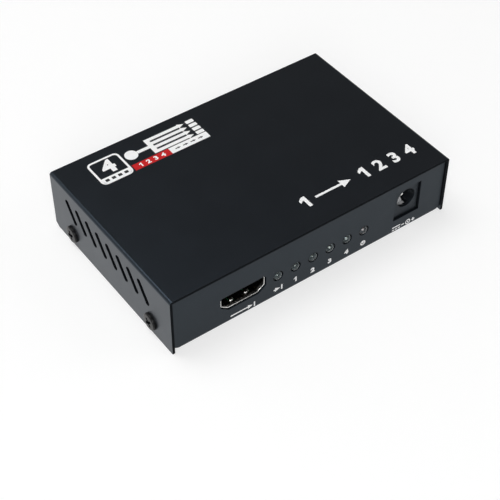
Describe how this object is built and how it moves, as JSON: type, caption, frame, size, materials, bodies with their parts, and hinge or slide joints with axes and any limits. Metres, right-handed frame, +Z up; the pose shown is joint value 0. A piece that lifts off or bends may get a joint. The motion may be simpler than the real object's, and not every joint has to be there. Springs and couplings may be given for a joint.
{
  "type": "video signal splitter",
  "caption": "Small sheet-metal video splitter box with an input port, status lights and a power jack in front, output ports at the rear and slanted side vents.",
  "frame": {"origin": "centre of the underside, on the surface that the case stands on", "axes": "+X to the right along the front panel, +Y from the front to the rear, +Z up"},
  "size_m": [0.0974, 0.061, 0.02],
  "materials": {
    "black_paint": "satin black powder coat",
    "black_screw": "black zinc",
    "steel_screw": "zinc plated",
    "port_shell": "bright nickel plate",
    "port_insulator": "black moulded",
    "port_contact": "gold flash",
    "green_lamp": "clear tinted resin",
    "red_lamp": "clear tinted resin",
    "lead": "tinned",
    "jack_housing": "black moulded",
    "jack_pin": "nickel plated brass",
    "jack_leaf": "plated spring bronze",
    "board": "green solder mask",
    "chip": "moulded epoxy",
    "thermal_pad": "soft grey pad",
    "heat_sink": "bare extrusion",
    "capacitor_can": "plain can",
    "fuse": "coated",
    "chip_resistor": "coated ceramic",
    "chip_capacitor": "ceramic"
  },
  "bodies": {
    "unit": {"base_tray": "black_paint", "board_screws": "steel_screw", "board_standoffs": "steel_screw", "bulk_capacitor": "capacitor_can", "chip_capacitors": "chip_capacitor", "chip_resistors": "chip_resistor", "controller_chip": "chip", "cover_screws": "black_screw", "crystal": "capacitor_can", "dc_jack_housing": "jack_housing", "dc_jack_pin": "jack_pin", "dc_jack_root_terminal": "lead", "dc_jack_switch_contact": "lead", "heat_sink": "heat_sink", "input_light": "green_lamp", "input_port_contacts": "port_contact", "input_port_insulator": "port_insulator", "input_port_shell": "port_shell", "light_leads": "lead", "main_board": "board", "memory_chip": "chip", "output_light_1": "green_lamp", "output_light_2": "green_lamp", "output_light_3": "green_lamp", "output_light_4": "green_lamp", "output_port_1_contacts": "port_contact", "output_port_1_insulator": "port_insulator", "output_port_1_shell": "port_shell", "output_port_2_contacts": "port_contact", "output_port_2_insulator": "port_insulator", "output_port_2_shell": "port_shell", "output_port_3_contacts": "port_contact", "output_port_3_insulator": "port_insulator", "output_port_3_shell": "port_shell", "output_port_4_contacts": "port_contact", "output_port_4_insulator": "port_insulator", "output_port_4_shell": "port_shell", "power_fuse": "fuse", "power_inductor": "chip", "power_light": "red_lamp", "protection_diode": "chip", "splitter_chip": "chip", "thermal_pad": "thermal_pad", "top_cover": "black_paint", "voltage_regulators": "chip"},
    "jack_spring": {"dc_jack_spring_leaf": "jack_leaf"}
  },
  "joints": [
    {"name": "leaf_flex", "type": "hinge", "parent": "unit", "child": "jack_spring", "pos_m": [0.03315, -0.0173, 0.0073], "axis": [1, 0, 0], "range_deg": [0, 6], "stiffness_Nm_per_rad": 0.05}
  ]
}
